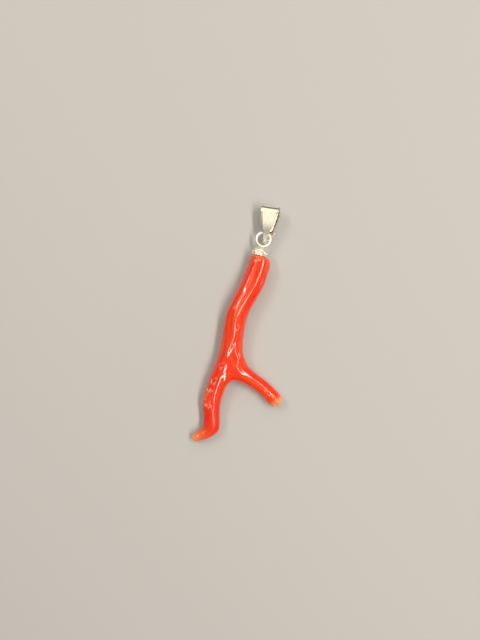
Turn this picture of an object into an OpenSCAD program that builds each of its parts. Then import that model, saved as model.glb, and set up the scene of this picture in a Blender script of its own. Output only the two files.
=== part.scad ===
// Coral branch pendant, in millimetres: a polished forked branch of red coral,
// a silver cap glued over its top end with a ring soldered to it, and a folded
// silver bail hooked through the ring. The pendant lies on its back on the plane
// z = 0, with its hanging end towards +Y and its front up.

/* [Branch] */
// Scale of every branch width and depth
branch_girth = 1; // [0.92:0.01:1.02]
// Height of the growth ribs, as a share of the radius
rib_height = 0.014; // [0:0.002:0.03]
// Growth ribs round the branch
rib_count = 7; // [5:1:11]

/* [Cap and ring] */
// Height of the ring and of the cap's axis above the surface
axis_height = 2.5; // [2.4:0.05:2.7]
// Outer diameter of the ring
ring_outer = 4.18; // [4.1:0.02:4.4]
// Diameter of the ring's wire
ring_wire = 0.74; // [0.6:0.02:0.78]
// Grains round the cap's collar
grain_count = 13; // [9:1:13]
// Diameter of one grain
grain_size = 0.8; // [0.7:0.02:0.8]
// Outer diameter of the cap's collar behind the grains
collar_outer = 3.6; // [3.5:0.05:3.7]
// Length of the cap, from its flat top to its mouth
cap_length = 2.4; // [2.3:0.05:2.5]
// Thickness of the cap's wall
cap_wall = 0.35; // [0.3:0.05:0.4]

/* [Bail] */
// Length of the bail, from its folded tip to the top of its roll
bail_length = 9.5; // [9.3:0.1:9.9]
// Outer radius of the roll that the chain runs through
roll_radius = 2; // [1.9:0.05:2.1]
// Thickness of the bail's sheet
sheet = 0.4; // [0.36:0.02:0.42]
// Width of the roll
roll_width = 4.4; // [4.1:0.1:4.6]
// Width of the leaf where it meets the tongue
shoulder_width = 2.75; // [2.6:0.05:2.9]
// Depth of the bevels at the leaf's outer edges
bevel_drop = 0.24; // [0.15:0.01:0.28]
// Width of the loose tail end
tail_width = 0.45; // [0.4:0.05:0.5]

/* [Hidden] */
$fn = 64;
coral_red = "#E8321C";
silver = "#D9D6CC";
fit_gap = 0.06;      // clear space between pieces that touch
far = 20;            // longer than any piece of the cap or bail

// From the middle of the pendant's outline to the ring's centre.
ring_place = [-4.25, 21.82, 0];

// Columns of a branch row. The first two place the middle of a section, the next
// two are its sizes along and above the surface, and the last is the height of
// its underside above the surface.
X = 0;
Y = 1;
WIDTH = 2;
DEPTH = 3;
LIFT = 4;

// Distances down the cap's axis from the ring's centre.
solder_depth = 0.2;  // how deep the ring sinks into the cap's top
stub_length = 1.25;
cap_top = ring_outer / 2 - solder_depth;
cap_mouth = cap_top + cap_length;
cap_ceiling = cap_mouth - stub_length;

// Top end: a turned stub that sits in the cap, then the shoulder below the cap's
// mouth. These sections stand square to the cap's axis.
stub_d = collar_outer - 2 * cap_wall - 2 * fit_gap;
stub_y = -(cap_ceiling + 2 * fit_gap);
stub_lift = axis_height - stub_d / 2;
stub_chamfer = 0.15;
stub_end_d = stub_d - 2 * stub_chamfer;
top_rows = [
    [0.00, stub_y, stub_end_d, stub_end_d, stub_lift + stub_chamfer],
    [0.00, stub_y - stub_chamfer, stub_d, stub_d, stub_lift],
    [0.00, -cap_mouth - fit_gap, stub_d, stub_d, stub_lift],
    [0.17, -cap_mouth - 0.07, 4.30, 4.10, 0.45],
    [0.32, -cap_mouth - 0.35, 4.76, 4.45, 0.27],
    [0.42, -cap_mouth - 0.68, 4.94, 4.60, 0.20]
];

// Main arm: the stem, then the left branch to its pointed foot.
main_rows = [
    [ 0.50,  -5.35, 5.05, 4.70, 0.15],
    [ 0.58,  -6.30, 5.25, 4.80, 0.08],
    [ 0.52,  -7.40, 5.32, 4.90, 0.03],
    [ 0.38,  -8.90, 5.44, 4.90, 0.03],
    [ 0.14, -10.80, 5.55, 4.90, 0.03],
    [-0.30, -12.80, 5.45, 4.90, 0.10],
    [-0.95, -14.90, 5.32, 4.80, 0.20],
    [-1.50, -17.30, 5.16, 4.80, 0.30],
    [-1.84, -19.80, 5.28, 4.80, 0.30],
    [-1.76, -22.40, 5.20, 4.70, 0.25],
    [-1.53, -25.00, 5.20, 4.70, 0.20],
    [-1.36, -27.50, 5.16, 4.70, 0.15],
    [-1.40, -30.10, 5.02, 4.60, 0.10],
    [-1.72, -32.80, 4.90, 4.50, 0.10],
    [-2.18, -35.60, 4.76, 4.40, 0.08],
    [-2.53, -38.10, 4.58, 4.20, 0.05],
    [-2.72, -40.60, 4.50, 4.10, 0.05],
    [-2.54, -42.70, 4.36, 3.90, 0.05],
    [-2.06, -44.40, 3.90, 3.70, 0.08],
    [-1.63, -46.00, 3.85, 3.60, 0.06],
    [-1.40, -47.30, 3.95, 3.50, 0.03],
    [-1.50, -48.30, 3.82, 3.30, 0.05],
    [-1.92, -49.15, 3.40, 3.00, 0.10],
    [-2.55, -49.90, 2.95, 2.65, 0.20],
    [-3.28, -50.52, 2.55, 2.35, 0.30],
    [-3.98, -51.02, 2.25, 2.10, 0.45],
    [-4.60, -51.40, 1.90, 1.75, 0.60],
    [-5.04, -51.64, 1.35, 1.25, 0.85],
    [-5.28, -51.75, 0.55, 0.50, 1.20]
];

// Side arm: from inside the stem to the blunt tip on the right.
side_rows = [
    [-1.45, -23.80, 4.30, 3.80, 0.70],
    [-1.08, -26.20, 4.75, 4.20, 0.45],
    [-0.68, -28.10, 4.80, 4.30, 0.35],
    [-0.02, -29.45, 4.65, 4.30, 0.30],
    [ 1.18, -31.20, 4.42, 4.20, 0.25],
    [ 2.58, -32.66, 4.25, 4.00, 0.20],
    [ 4.00, -33.42, 4.05, 3.80, 0.20],
    [ 5.50, -34.07, 3.75, 3.60, 0.15],
    [ 7.20, -34.72, 3.64, 3.50, 0.10],
    [ 9.10, -35.57, 3.62, 3.40, 0.06],
    [10.70, -36.52, 3.58, 3.40, 0.03],
    [11.85, -37.28, 3.66, 3.40, 0.03],
    [12.45, -37.70, 3.50, 3.20, 0.12],
    [12.88, -38.00, 3.10, 2.80, 0.32],
    [13.22, -38.24, 2.45, 2.10, 0.68],
    [13.50, -38.42, 1.30, 1.10, 1.18]
];

// Web: an arch from arm to arm that rounds the crotch of the fork.
web_rows = [
    [-2.14, -40.80, 3.20, 3.20, 0.60],
    [-2.02, -38.70, 3.40, 3.50, 0.45],
    [-1.62, -36.70, 3.40, 3.70, 0.40],
    [-0.70, -34.95, 3.40, 3.80, 0.40],
    [ 0.90, -33.74, 3.40, 3.70, 0.45],
    [ 2.55, -33.68, 3.40, 3.60, 0.45],
    [ 4.00, -34.00, 3.20, 3.30, 0.45],
    [ 5.30, -34.15, 2.80, 2.90, 0.50]
];

// Core: fills the hollow between the arms above the arch.
core_rows = [
    [-1.00, -27.60, 3.00, 3.60, 0.70],
    [-0.80, -29.40, 4.00, 4.30, 0.30],
    [-0.45, -31.10, 4.70, 4.35, 0.20],
    [ 0.05, -32.60, 4.80, 4.25, 0.20],
    [ 0.50, -33.80, 4.00, 3.95, 0.30],
    [ 0.85, -34.65, 2.60, 3.10, 0.75]
];

branch_sides = 28;
steps_per_row = 2;
rib_twist = 2.2;     // degrees that the ribs turn for each millimetre of branch

// Cap profile, as radii and as distances down from the cap's top.
neck_r = 1.05;
neck_h = 0.66;
neck_chamfer = 0.2;
collar_r = collar_outer / 2;
shoulder_h = 1.05;
lip_r = collar_r + 0.26;
lip_h = 0.34;
lip_flare = 0.12;
lip_round = 0.05;
grain_r = grain_size / 2;
grain_h = 1.55;
grain_ring_r = collar_r - 0.06;

// Lengths up the bail, from its tip. The tongue passes through the ring.
fold_inner = 0.14;
tip_radius = sheet + fold_inner;
roll_v = bail_length - roll_radius;
shoulder_v = 3.2;
shoulder_round = 0.1;
wide_v = 7.8;        // where the leaf reaches the roll's full width
tongue_tip_width = 0.62;
tongue_taper = 0.25; // growth of the tongue's and panel's width for each millimetre up
panel_w = tongue_tip_width + tongue_taper * shoulder_v;
leaf_slope = asin((roll_radius - tip_radius) / (roll_v - tip_radius));

// The two bevels of the front leaf.
bevel_w = (roll_width - tongue_tip_width - tongue_taper * wide_v) / 2;
bevel_turn = atan(tongue_taper / 2);
bevel_overrun = 1;   // how far the cut runs on below the shoulder
bevel_top = 0.25;    // how far it runs on above the place of full width
bevel_cut_size = [3, bevel_overrun + wide_v - shoulder_v + bevel_top, 1];

// How the bail lies. Its tip is just clear of the ring's lower inside, it is turned
// and rolled a little, and it slopes down until the roll's lower edge meets the
// surface.
tip_gap = 0.38;      // from the ring's inside up to the bail's tip
bail_tip = [0.48, ring_wire - ring_outer / 2 + tip_gap];
bail_yaw = 2.9;
bail_roll = -8;
ring_pass_v = 2.8;   // where the ring's wire crosses the bail
bail_sag = 0.04;     // how far the bail's middle hangs below the wire's middle there
pass_height = axis_height - bail_sag;
roll_height = roll_radius * cos(bail_roll) - roll_width / 2 * sin(bail_roll);
bail_pitch = -asin((pass_height - roll_height) / (roll_v - ring_pass_v));

// The loose tail: it leaves the folded tip below the ring and points to the right.
tail_angle = 37;
tail_thick = 0.36;
tail_dip = 17;       // slope of the stretch that dives under the wire
tail_dive = 2.0;
tail_end = 1.6;
tail_overlap = 0.1;

function unit(v) = v / norm(v);
function slide(p, q, r, s, t) =
    0.5 * ((2 * q) + (r - p) * t + (2 * p - 5 * q + 4 * r - s) * t * t
        + (3 * q - p - 3 * r + s) * t * t * t);
function row_at(rows, i) = rows[max(0, min(len(rows) - 1, i))];

// Rows with smooth in-between rows added.
function smooth_rows(rows) = concat(
    [for (i = [0 : len(rows) - 2], k = [0 : steps_per_row - 1])
        slide(row_at(rows, i - 1), rows[i], rows[i + 1], row_at(rows, i + 2),
            k / steps_per_row)],
    [rows[len(rows) - 1]]);

// The middle of a row's section.
function middle(row) = [row[X], row[Y], row[LIFT] + row[DEPTH] / 2];
function heading(rows, i) =
    unit(middle(row_at(rows, i + 1)) - middle(row_at(rows, i - 1)));
function rib(row, a) = 1 + rib_height * cos(rib_count * (a + rib_twist * row[Y]));

// One closed section: an ellipse with shallow ribs, square to the branch.
function section(rows, i) =
    let (row = rows[i],
        along = heading(rows, i),
        across = unit(cross([0, 0, 1], along)),
        above = cross(along, across))
    [for (j = [0 : branch_sides - 1])
        let (a = 360 * j / branch_sides, r = rib(row, a) * branch_girth / 2)
        middle(row) + across * (row[WIDTH] * r * cos(a))
            + above * (row[DEPTH] * r * sin(a))];

// A section of the top end: square to the cap's axis and without ribs.
function top_section(row) =
    [for (j = [0 : branch_sides - 1])
        let (a = 360 * j / branch_sides)
        middle(row) + [row[WIDTH] / 2 * cos(a), 0, row[DEPTH] / 2 * sin(a)]];

// A closed skin over a run of sections.
module skin(sections) {
    n = branch_sides;
    last = len(sections) - 1;
    polyhedron(
        points = [for (s = sections, p = s) p],
        faces = concat(
            [[for (j = [0 : n - 1]) j]],
            [for (i = [0 : last - 1], j = [0 : n - 1])
                let (k = (j + 1) % n)
                [i * n + j, (i + 1) * n + j, (i + 1) * n + k, i * n + k]],
            [[for (j = [n - 1 : -1 : 0]) last * n + j]]),
        convexity = 6);
}

module arm(rows) {
    fine = smooth_rows(rows);
    skin([for (i = [0 : len(fine) - 1]) section(fine, i)]);
}

module stem_and_left_arm() {
    fine = smooth_rows(main_rows);
    skin(concat(
        [for (row = top_rows) top_section(row)],
        [for (i = [0 : len(fine) - 1]) section(fine, i)]));
}

module coral_branch() {
    color(coral_red)
    union() {
        stem_and_left_arm();
        arm(side_rows);
        arm(web_rows);
        arm(core_rows);
    }
}

// Cap, drawn round +Z with its flat top at 0 and its mouth at cap_length.
module cap_shape() {
    bore_r = collar_r - cap_wall;
    bore_top = cap_ceiling - cap_top;
    rotate_extrude()
        polygon([
            [0, 0],
            [neck_r - neck_chamfer, 0],
            [neck_r, neck_chamfer],
            [neck_r, neck_h],
            [collar_r, shoulder_h],
            [collar_r, cap_length - lip_h],
            [lip_r, cap_length - lip_h + lip_flare],
            [lip_r, cap_length - lip_round],
            [lip_r - lip_round, cap_length],
            [bore_r, cap_length],
            [bore_r, bore_top],
            [0, bore_top]
        ]);
    for (i = [0 : grain_count - 1])
        rotate([0, 0, 360 * (i + 0.25) / grain_count])
            translate([grain_ring_r, 0, grain_h])
                grain();
}

// One grain, cut off inside the wall so that the bore stays clear.
module grain() {
    inner_cut = collar_r - cap_wall / 2 - grain_ring_r;
    intersection() {
        sphere(grain_r, $fn = 32);
        translate([inner_cut, -grain_r, -grain_r])
            cube(grain_size);
    }
}

module cap_with_ring() {
    wire_r = ring_wire / 2;
    color(silver)
    translate([0, 0, axis_height])
    union() {
        rotate_extrude()
            translate([ring_outer / 2 - wire_r, 0])
                circle(wire_r, $fn = 32);
        translate([0, -cap_top, 0])
            rotate([90, 0, 0])
                cap_shape();
    }
}

// A bent stretch of sheet: centre at the origin, bent round X, and as wide as far.
module bend(outer, from, sweep) {
    rotate([0, 90, 0])
        rotate([0, 0, from])
            rotate_extrude(angle = sweep)
                translate([outer - sheet, -far / 2])
                    square([sheet, far]);
}

// The bail's sheet, folded into a closed loop and still far too wide.
module sheet_loop() {
    flat = (roll_v - tip_radius) * cos(leaf_slope);
    translate([0, roll_v, 0])
        bend(roll_radius, -leaf_slope, 180 + 2 * leaf_slope);
    translate([0, tip_radius, 0])
        bend(tip_radius, 180 + leaf_slope, 180 - 2 * leaf_slope);
    for (face = [0, 1])
        mirror([0, 0, face])
            translate([0, tip_radius, 0])
                rotate([leaf_slope, 0, 0])
                    translate([-far / 2, 0, fold_inner])
                        cube([far, flat, sheet]);
}

// Outline of the bail as seen from the front: tongue, shoulders, leaf and roll.
module bail_outline() {
    half = [
        [tongue_tip_width / 2, -tip_radius],
        [panel_w / 2, shoulder_v - shoulder_round],
        [shoulder_width / 2 - shoulder_round, shoulder_v],
        [shoulder_width / 2, shoulder_v + shoulder_round],
        [roll_width / 2, wide_v],
        [roll_width / 2, bail_length + tip_radius]
    ];
    polygon(concat(half, [for (i = [len(half) - 1 : -1 : 0]) [-half[i][X], half[i][Y]]]));
}

// Material to cut away for one bevel of the front leaf, on the +X side. The cut
// starts at the edge of the flat panel and falls by bevel_drop at the leaf's edge.
module bevel_cut() {
    translate([0, tip_radius, 0])
        rotate([leaf_slope, 0, 0])
            translate([panel_w / 2, shoulder_v - tip_radius, tip_radius])
                rotate([0, 0, -bevel_turn])
                    rotate([0, atan(bevel_drop / bevel_w), 0])
                        translate([0, -bevel_overrun, 0])
                            cube(bevel_cut_size);
}

// The tail: one stretch dives from the tip under the ring, the next lies level.
module tail() {
    dive_run = tail_dive * cos(tail_dip);
    dive_fall = tail_dive * sin(tail_dip);
    translate([0, tip_radius, 0])
        rotate([0, 0, -tail_angle])
            translate([-tail_width / 2, -tail_overlap, -tip_radius]) {
                rotate([-tail_dip, 0, 0])
                    cube([tail_width, tail_dive, tail_thick]);
                translate([0, dive_run - tail_overlap, -dive_fall])
                    cube([tail_width, tail_end, tail_thick]);
            }
}

module bail_leaves() {
    difference() {
        intersection() {
            sheet_loop();
            translate([0, 0, -far / 2])
                linear_extrude(far)
                    bail_outline();
        }
        for (side = [0, 1])
            mirror([side, 0, 0])
                bevel_cut();
    }
}

module bail() {
    color(silver)
    translate([bail_tip[X], bail_tip[Y], pass_height])
        rotate([0, 0, bail_yaw])
            translate([0, ring_pass_v, 0])
                rotate([bail_pitch, 0, 0])
                    translate([0, -ring_pass_v, 0])
                        rotate([0, bail_roll, 0])
                            union() {
                                bail_leaves();
                                tail();
                            }
}

// Moves a piece from the ring's centre to its place in the pendant's frame.
module placed() {
    translate(ring_place)
        children();
}

placed() coral_branch();
placed() cap_with_ring();
placed() bail();
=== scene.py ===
"""Looks of the coral branch pendant: polished red coral, a cast silver cap with a
soldered ring, and a folded silver bail. Sizes are in millimetres until settle()."""

import math

import bmesh
import bpy
import numpy as np
from mathutils import Matrix, Vector, noise


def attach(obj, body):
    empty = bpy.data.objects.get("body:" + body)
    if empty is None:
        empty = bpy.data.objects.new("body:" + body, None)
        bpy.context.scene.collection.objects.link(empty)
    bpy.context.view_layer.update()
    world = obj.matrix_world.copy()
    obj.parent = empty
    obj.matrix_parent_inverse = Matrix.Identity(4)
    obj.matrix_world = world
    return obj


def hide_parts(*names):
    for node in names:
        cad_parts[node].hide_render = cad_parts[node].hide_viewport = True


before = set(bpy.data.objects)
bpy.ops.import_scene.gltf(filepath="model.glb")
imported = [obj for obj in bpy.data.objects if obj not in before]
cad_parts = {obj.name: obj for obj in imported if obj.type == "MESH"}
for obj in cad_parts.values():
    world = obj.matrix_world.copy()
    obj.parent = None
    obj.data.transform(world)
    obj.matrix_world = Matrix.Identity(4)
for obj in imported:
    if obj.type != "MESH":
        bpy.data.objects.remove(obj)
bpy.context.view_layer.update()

MM = 0.001

# Where the ring's centre and the bail lie, as in the part's source.
RING_CENTRE = Vector((-4.25, 21.82, 2.5))
RING_OUTER = 4.18
WIRE = 0.74
SOLDER_DEPTH = 0.2
# The cap's top and its mouth, down from the ring's centre.
CAP_TOP = RING_OUTER / 2 - SOLDER_DEPTH
CAP_LENGTH = 2.4
CAP_MOUTH = CAP_TOP + CAP_LENGTH
# The bail's tip from the ring's centre, and its turns. It pitches where it passes
# through the ring, this far up from its tip.
BAIL_TIP = Vector((0.48, -0.97, -0.04))
BAIL_YAW = math.radians(2.9)
BAIL_ROLL = math.radians(-8)
BAIL_PITCH = math.radians(-2.11)
RING_PASS = 2.8

# The camera stands straight over the surface, turned so that the pendant leans in
# the picture as it does in the photograph.
CAMERA_PLACE = Vector((-5.03, 1.27, 120.1))
CAMERA_TURN = math.radians(14)
CAMERA_LENS = 27


def add_camera():
    data = bpy.data.cameras.new("camera")
    data.sensor_fit = "AUTO"
    data.sensor_width = 36
    data.lens = CAMERA_LENS
    data.clip_start = 0.01
    camera = bpy.data.objects.new("camera", data)
    bpy.context.scene.collection.objects.link(camera)
    camera.location = CAMERA_PLACE * MM
    camera.rotation_euler = (0, 0, CAMERA_TURN)
    bpy.context.scene.camera = camera


# Materials


def colour(code):
    """Linear colour of an sRGB hex code."""
    parts = [int(code[i : i + 2], 16) / 255 for i in (1, 3, 5)]
    linear = [
        p / 12.92 if p <= 0.04045 else ((p + 0.055) / 1.055) ** 2.4 for p in parts
    ]
    return (*linear, 1)


def add(tree, kind, inputs=None, **settings):
    """Adds a node. An input is given a value, or the output that feeds it."""
    node = tree.nodes.new("ShaderNode" + kind)
    for name, value in settings.items():
        setattr(node, name, value)
    for key, value in (inputs or {}).items():
        if isinstance(value, bpy.types.NodeSocket):
            tree.links.new(value, node.inputs[key])
        else:
            node.inputs[key].default_value = value
    return node


def new_material(name):
    """A material with nothing but a plain shader in it."""
    material = bpy.data.materials.new(name)
    material.use_nodes = True
    tree = material.node_tree
    tree.nodes.clear()
    shader = add(tree, "BsdfPrincipled")
    add(tree, "OutputMaterial", {"Surface": shader.outputs[0]})
    return material, tree, shader


# Growth marks on the coral: fine lines 0.4 mm apart, and bands 1.1 mm apart.
LINES_PER_MM = 2.4
BANDS_PER_MM = 0.9


def polished_red_coral():
    """Red coral, ground and polished: a dense lime skeleton with a waxy gloss, fine
    growth lines about 0.4 mm apart along the branch, and paler worn ends."""
    material, tree, shader = new_material("polished_red_coral")
    side, deep, pale, rims, hollow = (
        add(tree, "Attribute", attribute_name=kept).outputs["Fac"]
        for kept in ("side_share", "deep", "pale", "rims", "hollow")
    )
    marks = []
    for per_mm in (LINES_PER_MM, BANDS_PER_MM):
        pair = []
        for arm in ("stem_growth", "side_growth"):
            along = add(tree, "Attribute", attribute_name=arm).outputs["Vector"]
            look = {"Vector": along, "Scale": per_mm, "Detail": 3, "Roughness": 0.55}
            pair.append(add(tree, "TexNoise", look).outputs["Fac"])
        marks.append(add(tree, "Mix", {0: side, 2: pair[0], 3: pair[1]}).outputs[0])
    growth, bands = marks

    streak = add(tree, "MapRange", {0: growth, 1: 0.36, 2: 0.64}).outputs[0]
    band = add(tree, "MapRange", {0: bands, 1: 0.44, 2: 0.64, 4: 0.7}).outputs[0]
    # The deep low arm's own tone, and painted shade in the coral's hollows.
    deep_tone_and_hollow_shade = add(
        tree, "Math", {0: deep, 1: 0.6, 2: hollow}, operation="MULTIPLY_ADD"
    ).outputs[0]
    # Over the deepest red: streaks, bands, deep tone and painted shade in hollows,
    # rims' wear and painted glints, worn ends.
    tone = colour("#F0280C")
    for share, over in (
        (streak, "#F6421C"),
        (band, "#F85C28"),
        (deep_tone_and_hollow_shade, "#EC240A"),
        # The scars' rims and bumps: pale wear and painted glints.
        (rims, "#FFC8A4"),
        (pale, "#FFB478"),
    ):
        tone = add(
            tree, "Mix", {0: share, 6: tone, 7: colour(over)}, data_type="RGBA"
        ).outputs[2]
    tree.links.new(tone, shader.inputs["Base Color"])

    gloss = add(tree, "MapRange", {0: growth, 1: 0.3, 2: 0.7, 3: 0.07, 4: 0.15})
    rubbed = add(tree, "MapRange", {0: deep, 3: gloss.outputs[0], 4: 0.3})
    rough = add(tree, "MapRange", {0: pale, 3: rubbed.outputs[0], 4: 0.42})
    tree.links.new(rough.outputs[0], shader.inputs["Roughness"])
    coat = add(tree, "MapRange", {0: deep, 3: 0.65, 4: 0.15}).outputs[0]
    tree.links.new(coat, shader.inputs["Coat Weight"])
    grain = add(
        tree, "Bump", {"Strength": 0.4, "Distance": 0.02 * MM, "Height": growth}
    ).outputs[0]
    tree.links.new(grain, shader.inputs["Normal"])
    for socket, value in {
        "IOR": 1.55,
        "Specular IOR Level": 0.3,
        "Coat Roughness": 0.04,
        "Subsurface Weight": 0.12,
        "Subsurface Radius": (1, 0.25, 0.12),
        "Subsurface Scale": 0.6 * MM,
    }.items():
        shader.inputs[socket].default_value = value
    return material


# Wiping marks on silver: 1.1 mm long, 9 times as long as wide, and aslant.
WIPES_PER_M = 900
WIPE_NARROWING = (9, 1, 1)
WIPE_TURN = (0, 0, 0.5)


def silver(name, bright, dull, rough_low, rough_high, pit_size, pit_depth):
    """Silver with a clear polish. Fine wiping marks and dents show in its gloss, its
    hollows are dull, and its cut edges are filed matt."""
    material, tree, shader = new_material(name)
    hollow, cut = (
        add(tree, "Attribute", attribute_name=kept).outputs["Fac"]
        for kept in ("hollow", "cut_edge")
    )
    place = add(tree, "TexCoord").outputs["Object"]
    dents = add(
        tree,
        "TexNoise",
        {"Vector": place, "Scale": 1 / (pit_size * MM), "Detail": 2, "Roughness": 0.5},
    ).outputs["Fac"]
    drawn_out = add(
        tree,
        "Mapping",
        {"Vector": place, "Rotation": WIPE_TURN, "Scale": WIPE_NARROWING},
    ).outputs[0]
    wiping = add(
        tree, "TexNoise", {"Vector": drawn_out, "Scale": WIPES_PER_M, "Detail": 3}
    ).outputs["Fac"]
    tone = colour(bright)
    for share, over in ((cut, "#DAD0B6"), (hollow, dull)):
        tone = add(
            tree, "Mix", {0: share, 6: tone, 7: colour(over)}, data_type="RGBA"
        ).outputs[2]
    tree.links.new(tone, shader.inputs["Base Color"])
    polish = add(
        tree, "MapRange", {0: wiping, 1: 0.3, 2: 0.7, 3: rough_low, 4: rough_high}
    ).outputs[0]
    rough = add(tree, "Mix", {0: cut, 2: polish, 3: 0.36}).outputs[0]
    tree.links.new(rough, shader.inputs["Roughness"])
    height = add(tree, "Mix", {0: 0.25, 2: dents, 3: wiping}).outputs[0]
    relief = add(
        tree, "Bump", {"Strength": 0.6, "Distance": pit_depth * MM, "Height": height}
    ).outputs[0]
    tree.links.new(relief, shader.inputs["Normal"])
    shader.inputs["Metallic"].default_value = 1
    return material


def pale_floor():
    """Matt painted board, which gives a soft even ground."""
    material, _, shader = new_material("matt_pale_board")
    shader.inputs["Base Color"].default_value = colour("#C0C1C2")
    shader.inputs["Roughness"].default_value = 0.9
    return material


# Mesh helpers


def object_from(bm, name):
    """An object in the scene of the bmesh, which is freed."""
    mesh = bpy.data.meshes.new(name)
    bm.to_mesh(mesh)
    bm.free()
    item = bpy.data.objects.new(name, mesh)
    bpy.context.scene.collection.objects.link(item)
    return item


def joined(name, *shapers):
    """An object of the shells that the shapers each make in a bmesh of its own."""
    whole = bmesh.new()
    for shape in shapers:
        bm = bmesh.new()
        shape(bm)
        bmesh.ops.recalc_face_normals(bm, faces=bm.faces)
        shell = bpy.data.meshes.new(name)
        bm.to_mesh(shell)
        bm.free()
        whole.from_mesh(shell)
        bpy.data.meshes.remove(shell)
    return object_from(whole, name)


def apply_modifiers(item):
    """Puts what the modifiers make in the place of the item's mesh."""
    graph = bpy.context.evaluated_depsgraph_get()
    mesh = bpy.data.meshes.new_from_object(item.evaluated_get(graph))
    item.modifiers.clear()
    old = item.data
    item.data = mesh
    bpy.data.meshes.remove(old)


def remesh(item, voxel):
    """Fuses the item's shells into one skin of squares of that size."""
    fuse = item.modifiers.new("fuse", "REMESH")
    fuse.mode = "VOXEL"
    fuse.voxel_size = voxel
    apply_modifiers(item)


def read_points(mesh):
    points = np.empty(len(mesh.vertices) * 3)
    mesh.vertices.foreach_get("co", points)
    return points.reshape(-1, 3)


def write_points(mesh, points):
    mesh.vertices.foreach_set("co", points.ravel())
    mesh.update()


def read_normals(mesh):
    normals = np.empty(len(mesh.vertices) * 3)
    mesh.vertex_normals.foreach_get("vector", normals)
    return normals.reshape(-1, 3)


def neighbours(mesh):
    """Pairs of points that share an edge, each pair both ways round."""
    pairs = np.empty(len(mesh.edges) * 2, int)
    mesh.edges.foreach_get("vertices", pairs)
    pairs = pairs.reshape(-1, 2)
    return np.concatenate([pairs, pairs[:, ::-1]])


def mean_of_neighbours(values, pairs):
    count = len(values)
    start, end = pairs[:, 0], pairs[:, 1]
    share = np.bincount(start, minlength=count)
    sums = [np.bincount(start, column[end], count) for column in values.T]
    return np.stack(sums, axis=1) / share[:, None]


# Steps of smoothing towards the neighbours' mean, and back out.
STEP_IN = 0.5
STEP_OUT = -0.53


def smooth(points, pairs, passes):
    """Smooths without shrinking: each step in is followed by a longer one out."""
    for _ in range(passes):
        for step in (STEP_IN, STEP_OUT):
            points = points + step * (mean_of_neighbours(points, pairs) - points)
    return points


HOLLOW_PASSES = 12


def hollows(points, normals, pairs, full):
    """How far each point lies in a hollow: 0 on the open surface, 1 at depth full."""
    wide = points
    for _ in range(HOLLOW_PASSES):
        wide = mean_of_neighbours(wide, pairs)
    depth = ((wide - points) * normals).sum(1)
    return np.clip(depth / full, 0, 1)


def store(mesh, name, values):
    """Keeps a number or a place for each point, for the materials."""
    kind = "FLOAT" if values.ndim == 1 else "FLOAT_VECTOR"
    layer = mesh.attributes.new(name, kind, "POINT")
    layer.data.foreach_set("value" if values.ndim == 1 else "vector", values.ravel())


def noise_at(points, spacing):
    """Smooth noise from about -1 to 1, with bumps about that far apart."""
    return np.array([noise.noise(Vector(p / spacing)) for p in points])


def settle(item, material, body="root"):
    """Turns the item to metres, smooth shaded, on its body."""
    item.data.transform(Matrix.Scale(MM, 4))
    item.data.materials.clear()
    item.data.materials.append(material)
    item.data.polygons.foreach_set("use_smooth", [True] * len(item.data.polygons))
    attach(item, body)


# Coral branch

# Mid lines of the arms: X, Y and height.
STEM_LINE = [
    (-4.20, 18.60, 2.50),
    (-3.75, 16.47, 2.50),
    (-3.73, 14.42, 2.48),
    (-4.11, 11.02, 2.48),
    (-5.20, 6.92, 2.60),
    (-6.09, 2.02, 2.70),
    (-5.78, -3.18, 2.55),
    (-5.65, -8.28, 2.40),
    (-6.43, -13.78, 2.28),
    (-6.97, -18.78, 2.10),
    (-6.31, -22.58, 1.93),
    (-5.65, -25.48, 1.78),
    (-6.17, -27.33, 1.60),
    (-7.53, -28.70, 1.48),
    (-9.53, -29.93, 1.45),
]
SIDE_LINE = [
    (-5.70, -1.98, 2.60),
    (-4.93, -6.28, 2.50),
    (-3.07, -9.38, 2.35),
    (-0.25, -11.60, 2.10),
    (2.95, -12.90, 1.85),
    (6.45, -14.70, 1.73),
    (8.20, -15.88, 1.72),
    (9.25, -16.60, 1.73),
]
CORAL_VOXEL = 0.115

# Scars and nicks on the front. Columns: place, half length, half width, turn in
# degrees from the X axis, height of the rim and depth of the hollow inside it.
SCARS = [
    ((-7.60, -14.60), 0.95, 0.55, 68, 0.13, 0.08),
    ((-8.25, -17.00), 0.42, 0.34, 50, 0.20, 0.00),
    ((-8.00, -19.00), 2.00, 0.78, 80, 0.08, 0.10),
    ((-7.60, -20.90), 0.62, 0.50, 20, 0.14, 0.10),
    ((-6.56, -10.66), 0.85, 0.70, 60, 0.04, 0.03),
    ((-4.97, -0.60), 0.75, 0.28, 75, 0.09, 0.06),
    ((-5.21, -4.97), 0.30, 0.25, 0, 0.08, -0.02),
    ((-3.17, -7.40), 0.80, 0.30, 85, 0.08, 0.04),
    ((5.38, -14.10), 0.50, 0.35, -40, 0.14, 0.05),
    ((6.20, -14.60), 0.40, 0.30, -40, 0.12, 0.04),
    ((7.38, -14.85), 0.42, 0.30, -30, 0.10, 0.04),
    ((-5.34, 11.98), 0.30, 0.16, 70, 0.08, 0.02),
    ((-7.07, 3.98), 0.26, 0.18, 70, 0.08, 0.02),
    ((-6.94, -27.45), 0.45, 0.25, 30, 0.10, 0.03),
    ((-4.95, 16.10), 0.55, 0.40, 10, 0.00, -0.12),
    ((-4.05, 16.30), 0.45, 0.35, 10, 0.00, -0.10),
]
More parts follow.
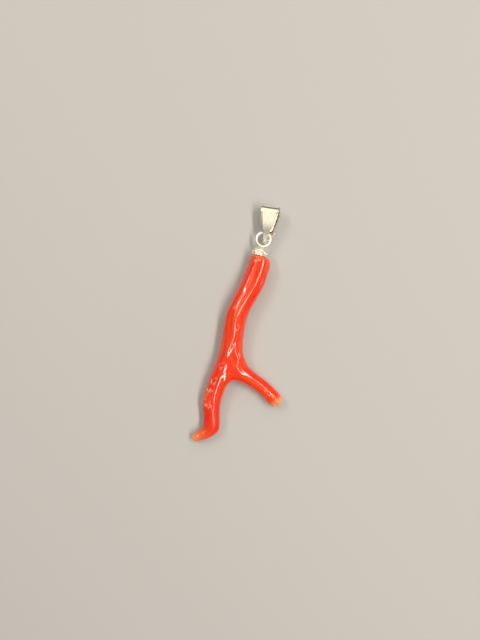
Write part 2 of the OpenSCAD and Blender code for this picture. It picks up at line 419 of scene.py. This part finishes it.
# Long ribs and grooves along the front, where the polish left edges. Columns: places
# along it as X, Y and rise, and half width.
RIBS = [
    # The stem's upper half: a groove on its right, and a rib that follows on its left.
    (
        [
            (-3.05, 15.0, 0),
            (-3.25, 13.6, -0.014),
            (-3.42, 12.0, -0.027),
            (-3.70, 10.5, -0.028),
            (-4.18, 8.9, -0.018),
            (-4.60, 7.6, 0),
        ],
        0.4,
    ),
    ([(-5.3, 10.0, 0), (-5.7, 8.4, 0.006), (-6.1, 7.1, 0.006), (-6.6, 5.7, 0)], 0.3),
    (
        [
            (-4.13, 11.2, 0),
            (-4.93, 9.1, 0.07),
            (-5.37, 7.4, 0.09),
            (-5.75, 5.6, 0.03),
            (-6.07, 3.0, 0.02),
            (-6.20, 1.2, 0),
        ],
        0.5,
    ),
    # The stem's lower half: a ridge down to the fork, its edge, and a groove beside it.
    (
        [
            (-5.95, 4.2, 0),
            (-6.07, 2.6, 0.08),
            (-6.15, 1.0, 0.20),
            (-5.87, -1.9, 0.23),
            (-5.75, -3.3, 0.24),
            (-5.88, -4.8, 0.25),
            (-6.17, -6.3, 0.25),
            (-6.25, -7.9, 0.20),
            (-6.20, -9.4, 0.10),
            (-6.10, -10.6, 0),
        ],
        0.7,
    ),
    (
        [(-5.9, -5.0, 0), (-6.07, -6.3, 0.05), (-6.15, -7.9, 0.06), (-6.1, -9.2, 0)],
        0.35,
    ),
    (
        [
            (-5.95, 1.2, 0),
            (-5.90, -0.4, -0.025),
            (-5.77, -1.9, -0.025),
            (-5.65, -3.3, -0.025),
            (-5.77, -4.7, 0),
        ],
        0.25,
    ),
    # Fine ribs down the side arm and from the stem over the fork.
    ([(0.6, -11.3, 0), (1.7, -11.9, 0.02), (4.15, -12.8, 0.02), (6.2, -13.9, 0)], 0.25),
    (
        [
            (-5.0, -3.3, 0),
            (-4.6, -4.6, 0.04),
            (-4.45, -6.2, 0.04),
            (-3.65, -7.3, 0.04),
            (-3.12, -8.5, 0.04),
            (-3.15, -9.5, 0),
        ],
        0.25,
    ),
    # The left arm's ridge.
    (
        [
            (-6.10, -9.4, 0),
            (-6.25, -10.8, 0.205),
            (-6.82, -12.4, 0.24),
            (-6.86, -13.9, 0.24),
            (-7.09, -15.5, 0.21),
            (-7.20, -17.0, 0.13),
            (-7.00, -19.2, 0),
        ],
        0.7,
    ),
    # Short ribs on the stem, and a groove beside the left arm's scars.
    ([(-4.9, 6.2, 0), (-5.49, 4.1, 0.02), (-5.61, 2.6, 0.02), (-5.9, 1.0, 0)], 0.25),
    ([(-4.9, 0.4, 0), (-4.73, -0.3, 0.06), (-4.97, -1.4, 0)], 0.2),
    (
        [(-7.7, -15.4, 0), (-7.45, -18.0, -0.09), (-6.8, -20.1, -0.09), (-6, -22, 0)],
        0.3,
    ),
    # The side arm's ridge.
    (
        [
            (-3.5, -8.6, 0),
            (-3.05, -10.1, 0.24),
            (-1.6, -11.45, 0.20),
            (0.0, -12.2, 0.08),
            (1.6, -12.9, 0),
        ],
        0.6,
    ),
]
# The scars' rims and dishes, in half sizes, and how deep a scar reaches round the
# branch. Where a scar is set, a higher point counts this much over a nearer one.
RIM_SPREAD = 0.28
DISH_SPREAD = 0.72
SCAR_REACH = 2.5
SCAR_DROP = 1.2
HIGHER_COUNTS = 0.2
# Noise breaks the rims: its spacing, what it leaves on average, and its contrast. The
# rims are painted pale as they rise, part wear and part painted glint, and bumps get a
# stronger painted glint.
RIM_BREAKS = 0.7
RIM_LEFT = 0.6
RIM_CONTRAST = 1.6
RIM_WEAR_AND_GLINT = 4
BUMP_GLINT = 5
# Ribs fade out down the flanks, between these heights.
FLANK = 1.5
FLANK_FADE = 0.8

# Passes of smoothing over the whole branch, and over the fork, whose front and back
# are broad and calm.
BRANCH_PASSES = 30
FORK_PASSES = 160
FORK = (-4.9, -9.6)
FORK_REACH = 4.0
FORK_CALM = 0.8
# The turned stub ends this far under the cap's mouth, and the free skin begins.
STUB_END = 0.1
STUB_FADE = 0.5
# Growth marks lie at this radius round the branch and are drawn out along it. They
# raise swells, with these spacings and rises, and the branch is wavy besides.
GROWTH_RADIUS = 2.5
DRAWN_OUT = np.array((1, 1, 0.12))
SWELLS = ((0.75, 0.008), (1.9, 0.035))
WAVES = 4
WAVE_RISE = 0.06
# The side arm's marks take over from the stem's within this distance.
ARM_BLEND = 0.25
# The foot is worn pale at its toe, with these shares and reaches, and has a heel.
TOE = np.array((-9.4, -29.9, 1.45))
TOE_WEAR = ((0.44, 3.2), (0.4, 1.2))
HEEL = np.array((-3.85, -26.35, 1.7))
HEEL_RISE = 0.18
HEEL_REACH = 0.8
# The side arm's blunt tip is uneven and worn in patches.
BLUNT_TIP = np.array((9.6, -16.9, 1.73))
TIP_WAY = np.array((0.825, -0.565, 0))
TIP_LENGTH = 2.6
TIP_FADE = 1.7
TIP_RISE = 0.22
TIP_BUMPS = 0.9
TIP_PATCHES = 0.8
TIP_WEAR = 0.4
# The stem's top edge under the cap is a little worn.
EDGE_WEAR = 0.2
EDGE_REACH = 0.9
# The left arm's low end is the deepest red, from its top to the foot, with its fades.
DEEP_TOP, DEEP_TOP_FADE = -19.5, 2
DEEP_FOOT, DEEP_FOOT_FADE = -27.5, 1.5
# At this depth a coral hollow takes its full painted shade.
CORAL_HOLLOW = 0.16
# Near the surface that the branch lies on, the relief fades out.
GROUND_FADE = 0.4


def curve_through(places, per_span=8):
    """Points of a smooth curve through the places."""
    rows = np.array([places[0], *places, places[-1]])
    points = []
    for a, b, c, d in zip(rows, rows[1:], rows[2:], rows[3:]):
        for t in np.linspace(0, 1, per_span, endpoint=False):
            points.append(
                0.5
                * (
                    2 * b
                    + (c - a) * t
                    + (2 * a - 5 * b + 4 * c - d) * t**2
                    + (3 * b - a - 3 * c + d) * t**3
                )
            )
    return np.array([*points, rows[-1]])


def along_branch(points, line):
    """For each point: its distance from the mid line, and a place whose first two
    numbers go round the branch and whose third goes along it, all in mm."""
    starts, spans = line[:-1], np.diff(line, axis=0)
    lengths = np.linalg.norm(spans, axis=1)
    travelled = np.concatenate([[0], np.cumsum(lengths)[:-1]])
    nearest = np.full(len(points), np.inf)
    place = np.zeros((len(points), 3))
    for start, span, length, before in zip(starts, spans, lengths, travelled):
        t = np.clip((points - start) @ span / length**2, 0, 1)
        offset = points - start - t[:, None] * span
        distance = np.linalg.norm(offset, axis=1)
        across = np.cross((0, 0, 1), span / length)
        above = np.cross(span / length, across)
        angle = np.arctan2(offset @ above, offset @ across)
        closer = distance < nearest
        nearest[closer] = distance[closer]
        round_it = np.stack(
            [
                GROWTH_RADIUS * np.cos(angle),
                GROWTH_RADIUS * np.sin(angle),
                before + t * length,
            ],
            axis=1,
        )
        place[closer] = round_it[closer]
    return nearest, place


def nearness(points, place, reach):
    """1 at the place, and softly less to nothing past the reach."""
    return np.exp(-((np.linalg.norm(points - place, axis=1) / reach) ** 2))


def press_scars(points, normals):
    """Heights of the scars, a raised rim round a hollow, and the rims' and bumps' pale
    paint: part wear, part painted glint.
    """
    height = np.zeros(len(points))
    wear_and_glint = np.zeros(len(points))
    broken = np.clip(RIM_LEFT + RIM_CONTRAST * noise_at(points, RIM_BREAKS), 0, 1)
    for (x, y), length, width, turn, rim, depth in SCARS:
        apart = np.hypot(points[:, 0] - x, points[:, 1] - y)
        top = np.argmin(apart - HIGHER_COUNTS * points[:, 2])
        normal = normals[top]
        turn = math.radians(turn)
        along = np.array((math.cos(turn), math.sin(turn), 0))
        along -= normal * (along @ normal)
        along /= np.linalg.norm(along)
        across = np.cross(normal, along)
        offset = points - points[top]
        u, v, w = offset @ along, offset @ across, offset @ normal
        r = np.hypot(u / length, v / width)
        near = (np.abs(w) < SCAR_DROP) & (r < SCAR_REACH)
        ring = np.exp(-(((r - 1) / RIM_SPREAD) ** 2)) * broken
        dish = depth * np.exp(-((r / DISH_SPREAD) ** 4))
        height += np.where(near, rim * ring - dish, 0)
        rim_wear_and_glint = RIM_WEAR_AND_GLINT * rim * ring - BUMP_GLINT * np.minimum(dish, 0)
        wear_and_glint = np.maximum(wear_and_glint, np.where(near, rim_wear_and_glint, 0))
    return height, np.clip(wear_and_glint, 0, 1)


def raise_ribs(points):
    """Heights of the ribs and grooves."""
    height = np.zeros(len(points))
    front = np.clip((points[:, 2] - FLANK) / FLANK_FADE, 0, 1)
    for places, width in RIBS:
        curve = curve_through(places)
        path = curve * (1, 1, 0)
        off, place = along_branch(points * (1, 1, 0), path)
        steps = np.linalg.norm(np.diff(path, axis=0), axis=1)
        travelled = np.concatenate([[0], np.cumsum(steps)])
        rise = np.interp(place[:, 2], travelled, curve[:, 2])
        height += rise * front * np.exp(-((off / width) ** 2))
    return height


def coral_branch():
    bm = bmesh.new()
    bm.from_mesh(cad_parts["coral_branch"].data)
    bmesh.ops.scale(bm, vec=(1 / MM,) * 3, verts=bm.verts)
    bmesh.ops.remove_doubles(bm, verts=bm.verts, dist=0.001)
    item = object_from(bm, "polished_coral")
    remesh(item, CORAL_VOXEL)
    mesh = item.data

    cut = read_points(mesh)
    pairs = neighbours(mesh)
    # The turned stub stays as cut, because it fits the cap.
    mouth = RING_CENTRE.y - CAP_MOUTH
    free = np.clip((mouth - STUB_END - cut[:, 1]) / STUB_FADE, 0, 1)[:, None]
    points = cut + free * (smooth(cut, pairs, BRANCH_PASSES) - cut)
    fork = np.exp(-((np.hypot(*(points[:, :2] - FORK).T) / FORK_REACH) ** 2))[:, None]
    for _ in range(FORK_PASSES):
        points += STEP_IN * fork * (mean_of_neighbours(points, pairs) - points)
    write_points(mesh, points)
    normals = read_normals(mesh)

    stem_off, stem_place = along_branch(points, curve_through(STEM_LINE))
    side_off, side_place = along_branch(points, curve_through(SIDE_LINE))
    side_share = 1 / (1 + np.exp((side_off - stem_off) / ARM_BLEND))
    height = np.zeros(len(points))
    for spacing, rise in SWELLS:
        stem = noise_at(stem_place * DRAWN_OUT, spacing)
        side = noise_at(side_place * DRAWN_OUT, spacing)
        height += rise * (stem + side_share * (side - stem))
    height += WAVE_RISE * noise_at(points, WAVES)
    height *= 1 - FORK_CALM * fork[:, 0]

    toe = sum(share * nearness(points, TOE, reach) for share, reach in TOE_WEAR)
    blunt = np.clip(((points - BLUNT_TIP) @ TIP_WAY + TIP_LENGTH) / TIP_FADE, 0, 1)
    height += blunt * TIP_RISE * noise_at(points, TIP_BUMPS)
    scars, wear_and_glint = press_scars(points, normals)
    height += scars + raise_ribs(points)
    height += HEEL_RISE * nearness(points, HEEL, HEEL_REACH)
    low = np.clip(points[:, 2] / GROUND_FADE, 0, 1)
    points = points + normals * (height * free[:, 0] * low)[:, None]
    write_points(mesh, points)

    patchy = 0.5 + 0.5 * noise_at(points, TIP_PATCHES)
    y = points[:, 1]
    top_edge = EDGE_WEAR * np.exp(-(((y - mouth) / EDGE_REACH) ** 2))
    under_top = np.clip((DEEP_TOP - y) / DEEP_TOP_FADE, 0, 1)
    over_foot = np.clip((y - DEEP_FOOT) / DEEP_FOOT_FADE, 0, 1)
    tip = blunt * (TIP_WEAR + patchy)
    store(mesh, "pale", np.clip(toe + tip + top_edge, 0, 1))
    # Pale paint on the scars' rims and bumps: part wear, part painted glint.
    store(mesh, "rims", wear_and_glint)
    store(mesh, "deep", under_top * over_foot)
    # How deep each point lies in a hollow, which the coral's material darkens as
    # painted shade.
    store(mesh, "hollow", hollows(points, read_normals(mesh), pairs, CORAL_HOLLOW))
    store(mesh, "stem_growth", stem_place * DRAWN_OUT)
    store(mesh, "side_growth", side_place * DRAWN_OUT)
    store(mesh, "side_share", side_share)
    settle(item, polished_red_coral())
    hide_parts("coral_branch")


# Cap with its ring

CAP_VOXEL = 0.05
# Cap profile: radius and distance down from its top.
CAP_PROFILE = [
    (0.00, 0.00),
    (1.05, 0.00),
    (1.20, 0.12),
    (1.25, 0.36),
    (1.62, 0.64),
    (1.78, 1.00),
    (1.84, 1.60),
    (1.94, 2.08),
    (2.10, 2.20),
    (2.10, 2.34),
    (2.02, 2.40),
    (1.45, 2.40),
    (1.45, 1.15),
    (0.00, 1.15),
]
# The neck is flattened towards the ring, from this far down.
NECK_END = 0.7
NECK_FLATNESS = 0.7
# The grains' number, radius and ring, how far down that lies, and the share of a
# grain's step that the first is turned by.
GRAINS = 13
GRAIN_RADIUS = 0.36
GRAIN_RING = 1.74
GRAIN_DOWN = 1.55
GRAIN_START = 0.25
WIRE_SIDES = 24
TURN_STEPS = 72
CAP_PASSES = 8
# Unevenness of the cast outside: spacings and rises, outside this radius.
CAST_BUMPS = ((0.45, 0.025), (0.2, 0.012))
CAST_OUTSIDE = 1.55
CAST_FADE = 0.3
CAP_HOLLOW = 0.06


def turn_round(bm, outline, axis):
    """Turns the outline, its points and edges, once round the axis."""
    bmesh.ops.spin(
        bm,
        geom=outline,
        cent=(0, 0, 0),
        axis=axis,
        angle=2 * math.pi,
        steps=TURN_STEPS,
        use_merge=True,
    )


def cap_with_ring():
    bm = bmesh.new()
    ring_r = (RING_OUTER - WIRE) / 2
    upright = Matrix.Translation((ring_r, 0, 0)) @ Matrix.Rotation(math.pi / 2, 4, "X")
    wire = bmesh.ops.create_circle(
        bm, segments=WIRE_SIDES, radius=WIRE / 2, matrix=upright
    )
    edges = [e for e in bm.edges if e.verts[0] in wire["verts"]]
    turn_round(bm, wire["verts"] + edges, (0, 0, 1))
    profile = [bm.verts.new((r, -CAP_TOP - down, 0)) for r, down in CAP_PROFILE]
    edges = [bm.edges.new(pair) for pair in zip(profile, profile[1:])]
    turn_round(bm, profile + edges, (0, 1, 0))
    for vert in bm.verts:
        down = -CAP_TOP - vert.co.y
        if 0 <= down < NECK_END:
            vert.co.z *= NECK_FLATNESS + (1 - NECK_FLATNESS) * down / NECK_END
    for i in range(GRAINS):
        turn = Matrix.Rotation(2 * math.pi * (i + GRAIN_START) / GRAINS, 4, "Y")
        place = Matrix.Translation((GRAIN_RING, -CAP_TOP - GRAIN_DOWN, 0))
        bmesh.ops.create_icosphere(
            bm, subdivisions=3, radius=GRAIN_RADIUS, matrix=turn @ place
        )
    bmesh.ops.remove_doubles(bm, verts=bm.verts, dist=0.001)
    bmesh.ops.recalc_face_normals(bm, faces=bm.faces)
    item = object_from(bm, "silver_cap_with_ring")
    remesh(item, CAP_VOXEL)
    mesh = item.data

    points = read_points(mesh)
    pairs = neighbours(mesh)
    points = smooth(points, pairs, CAP_PASSES)
    write_points(mesh, points)
    normals = read_normals(mesh)
    down = -CAP_TOP - points[:, 1]
    outside = np.hypot(points[:, 0], points[:, 2]) > CAST_OUTSIDE
    cast = np.clip(down / CAST_FADE, 0, 1) * outside
    bumps = sum(rise * noise_at(points, spacing) for spacing, rise in CAST_BUMPS)
    points = points + normals * (cast * bumps)[:, None]
    write_points(mesh, points)
    store(mesh, "hollow", hollows(points, read_normals(mesh), pairs, CAP_HOLLOW))
    mesh.transform(Matrix.Translation(RING_CENTRE))
    material = silver(
        "cast_silver",
        bright="#FFFAEE",
        dull="#8E8268",
        rough_low=0.34,
        rough_high=0.52,
        pit_size=0.3,
        pit_depth=0.05,
    )
    settle(item, material)
    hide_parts("cap_with_ring")


# Bail

SHEET = 0.4
ROLL_RADIUS = 2.0
TIP_RADIUS = 0.54
BAIL_LENGTH = 9.5
ROLL_V = BAIL_LENGTH - ROLL_RADIUS
# How far each leaf leans from the middle of the fold.
SLOPE = math.asin((ROLL_RADIUS - TIP_RADIUS) / (ROLL_V - TIP_RADIUS))
SHOULDER = 2.9
STEP = 0.1
WIDE = 7.8
# Half of the bail's width at places up from its tip. It steps out at its shoulder.
HALF_WIDTHS = {
    -TIP_RADIUS: 0.33,
    1.7: 0.60,
    SHOULDER - STEP: 0.86,
    SHOULDER: 1.34,
    SHOULDER + STEP: 1.44,
    WIDE: 2.22,
}
# Half of the panel's width at the tip, and its growth for each millimetre up. The
# bevels beside it have a least width and a slope.
PANEL_FOOT = 0.31
PANEL_TAPER = 0.19
BEVEL_LEAST = 0.06
BEVEL_SLOPE = 0.26
CAMBER = 0.14
# Rows across the sheet: round the tip, up the front leaf, over the roll and down the
# back leaf.
TIP_ROWS = 17
FRONT_ROWS = (1.2, 2.2, SHOULDER - STEP, SHOULDER, SHOULDER + STEP, 4.4, 5.3, 6.2)
ROLL_ROWS = 41
BACK_ROWS = (5.5, 4.2, SHOULDER + STEP, SHOULDER, SHOULDER - STEP, 2.2, 1.2)
# The edges' rounding, on folds sharper than this.
EDGE_ROUNDING = 0.05
EDGE_ANGLE = math.radians(11)
TAIL_WIDTH = 0.5
TAIL_THICK = 0.36
TAIL_TURN = math.radians(37)
TAIL_DIP = math.radians(17)
TAIL_DIVE = 2.0
TAIL_LENGTH = 3.35
TAIL_CUTS = 12


def half_width(v):
    """Half of the bail's width, v up from its tip."""
    return float(np.interp(v, list(HALF_WIDTHS), list(HALF_WIDTHS.values())))


def panel_half_width(v):
    """Half of the width of the flat panel between the bevels."""
    widened = PANEL_FOOT + PANEL_TAPER * min(max(v, 0), WIDE)
    return min(widened, half_width(v) - BEVEL_LEAST)


def bevel_depth(v):
    """Depth of the bevels at the leaf's edges."""
    return BEVEL_SLOPE * max(half_width(v) - panel_half_width(v), 0)


def bail_rows():
    """Rows across the folded sheet, in order round its loop. Each gives its place on
    the outer skin as v and height, the way out of the skin, and the bevels' depth."""
    lean = math.pi / 2 + SLOPE
    out = Vector((math.cos(lean), math.sin(lean)))
    rows = []
    # Round the tip, from the back to the front.
    for angle in np.linspace(2 * math.pi - lean, lean, TIP_ROWS):
        way = Vector((math.cos(angle), math.sin(angle)))
        rows.append((Vector((TIP_RADIUS, 0)) + TIP_RADIUS * way, way, 0))
    # Up the front leaf.
    foot = rows[-1][0]
    for v in FRONT_ROWS:
        point = foot + (v - foot.x) * Vector((1, math.tan(SLOPE)))
        point += CAMBER * math.sin(math.pi * (v - foot.x) / (ROLL_V - foot.x)) * out
        rows.append((point, out, bevel_depth(v)))
    # Over the roll, where the bevels run out, and down to the back leaf.
    for angle in np.linspace(lean, -lean, ROLL_ROWS):
        way = Vector((math.cos(angle), math.sin(angle)))
        point = Vector((ROLL_V, 0)) + ROLL_RADIUS * way
        fallen = ROLL_RADIUS * (1 - math.cos(lean - angle))
        on_front = angle > math.pi / 4
        rows.append((point, way, max(bevel_depth(point.x) - fallen, 0) * on_front))
    # Down the back leaf.
    for v in BACK_ROWS:
        point = foot + (v - foot.x) * Vector((1, math.tan(SLOPE)))
        point.y = -point.y
        rows.append((point, Vector((out.x, -out.y)), 0))
    return rows


def folded_sheet(bm):
    """The folded sheet: a grid with its thickness, laid along the rows."""
    rows = bail_rows()
    across, round_it = 4, len(rows)
    bmesh.ops.create_grid(bm, x_segments=across, y_segments=round_it, size=0.5)
    outer = set(bm.verts)
    bmesh.ops.extrude_face_region(bm, geom=bm.faces[:])
    ends = [f for f in bm.faces if abs(abs(f.calc_center_median().y) - 0.5) < 1e-4]
    bmesh.ops.delete(bm, geom=ends, context="FACES")
    for vert in bm.verts:
        column = round((vert.co.x + 0.5) * across) - across // 2
        point, way, bevel = rows[round((vert.co.y + 0.5) * round_it) % round_it]
        edge, panel = half_width(point.x), panel_half_width(point.x)
        x = (0, panel, edge)[abs(column)] * (1 if column > 0 else -1)
        if vert in outer:
            down = bevel if abs(column) == 2 else 0
        else:
            down = SHEET
        vert.co = (x, point.x - down * way.x, point.y - down * way.y)
    bmesh.ops.remove_doubles(bm, verts=bm.verts, dist=1e-4)


def loose_tail(bm):
    """The tail: a square wire end that dives under the ring and then runs level."""
    bmesh.ops.create_cube(bm, size=1)
    long_edges = [e for e in bm.edges if abs(e.verts[0].co.y - e.verts[1].co.y) > 0.9]
    bmesh.ops.subdivide_edges(bm, edges=long_edges, cuts=TAIL_CUTS)
    for vert in bm.verts:
        run = (vert.co.y + 0.5) * TAIL_LENGTH
        dive = min(run, TAIL_DIVE)
        vert.co = (
            vert.co.x * TAIL_WIDTH,
            dive * math.cos(TAIL_DIP) + max(run - TAIL_DIVE, 0),
            (vert.co.z + 0.5) * TAIL_THICK - dive * math.sin(TAIL_DIP) - TIP_RADIUS,
        )
    turn = Matrix.Rotation(-TAIL_TURN, 4, "Z")
    place = Matrix.Translation((0, TIP_RADIUS, 0)) @ turn
    bmesh.ops.transform(bm, matrix=place, verts=bm.verts)


def bail():
    item = joined("silver_bail", folded_sheet, loose_tail)
    rounding = item.modifiers.new("rounding", "BEVEL")
    rounding.width = EDGE_ROUNDING
    rounding.segments = 3
    rounding.limit_method = "ANGLE"
    rounding.angle_limit = EDGE_ANGLE
    rounding.harden_normals = True
    item.data.polygons.foreach_set("use_smooth", [True] * len(item.data.polygons))
    apply_modifiers(item)
    points = read_points(item.data)
    panel = np.array([panel_half_width(v) for v in points[:, 1]])
    beyond = np.clip((np.abs(points[:, 0]) - panel) / EDGE_ROUNDING, 0, 1)
    store(item.data, "cut_edge", beyond * (points[:, 2] > TIP_RADIUS))
    place = (
        Matrix.Translation(RING_CENTRE + BAIL_TIP)
        @ Matrix.Rotation(BAIL_YAW, 4, "Z")
        @ Matrix.Translation((0, RING_PASS, 0))
        @ Matrix.Rotation(BAIL_PITCH, 4, "X")
        @ Matrix.Translation((0, -RING_PASS, 0))
        @ Matrix.Rotation(BAIL_ROLL, 4, "Y")
    )
    item.data.transform(place)
    material = silver(
        "polished_silver_sheet",
        bright="#FEF9EC",
        dull="#9C9076",
        rough_low=0.12,
        rough_high=0.2,
        pit_size=0.7,
        pit_depth=0.007,
    )
    settle(item, material)
    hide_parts("bail")


# Set

LAMP_DISTANCE = 0.5
# Columns: name, lean and tip in degrees, width and length in metres, glow and tint.
# The strips draw the coral's thin highlights. The boxes light the silver.
LAMPS = [
    ("right_strip", 28, -4, 0.06, 0.58, 18, "#FFF5E6"),
    ("left_strip", -34, 30, 0.038, 0.23, 21, "#FFF5E6"),
    ("side_strip", 80, 4, 0.03, 0.4, 4, "#FFF5E6"),
    ("soft_box", -16, 17, 0.1, 0.34, 0.9, "#FFF4DC"),
    ("low_box", -16, -17, 0.1, 0.12, 0.7, "#FFF4DC"),
    ("end_box", 0, 45, 0.5, 0.38, 0.9, "#FFF4DC"),
]
FLOOR_REACH = 0.8


def floor():
    bm = bmesh.new()
    bmesh.ops.create_grid(bm, x_segments=1, y_segments=1, size=FLOOR_REACH)
    item = object_from(bm, "floor")
    item.data.materials.append(pale_floor())


def lamp(name, lean, tip, width, length, glow, tint):
    """A soft box over the pendant, along its length, that leans to the right and then
    tips towards the bail's end. Its glow is how bright its face looks."""
    data = bpy.data.lights.new(name, "AREA")
    data.shape = "RECTANGLE"
    data.size, data.size_y = width, length
    data.energy = glow * math.pi * width * length
    data.color = colour(tint)[:3]
    light = bpy.data.objects.new(name, data)
    bpy.context.scene.collection.objects.link(light)
    light.visible_camera = False
    light.matrix_world = (
        Matrix.Rotation(CAMERA_TURN, 4, "Z")
        @ Matrix.Rotation(math.radians(-tip), 4, "X")
        @ Matrix.Rotation(math.radians(lean), 4, "Y")
        @ Matrix.Translation((0, 0, LAMP_DISTANCE))
    )


def sky_light():
    """Even light from above that darkens towards the horizon."""
    world = bpy.data.worlds.new("sky_light")
    bpy.context.scene.world = world
    world.use_nodes = True
    tree = world.node_tree
    tree.nodes.clear()
    way = add(tree, "TexCoord").outputs["Generated"]
    height = add(tree, "SeparateXYZ", {0: way}).outputs[2]
    light = add(tree, "MapRange", {0: height, 1: -0.1, 2: 0.9, 3: 0.1, 4: 0.3})
    glow = add(
        tree, "Background", {"Color": colour("#FFFBF4"), "Strength": light.outputs[0]}
    )
    add(tree, "OutputWorld", {"Surface": glow.outputs[0]})


add_camera()
coral_branch()
cap_with_ring()
bail()
floor()
for row in LAMPS:
    lamp(*row)
sky_light()
bpy.context.scene.view_settings.view_transform = "Standard"
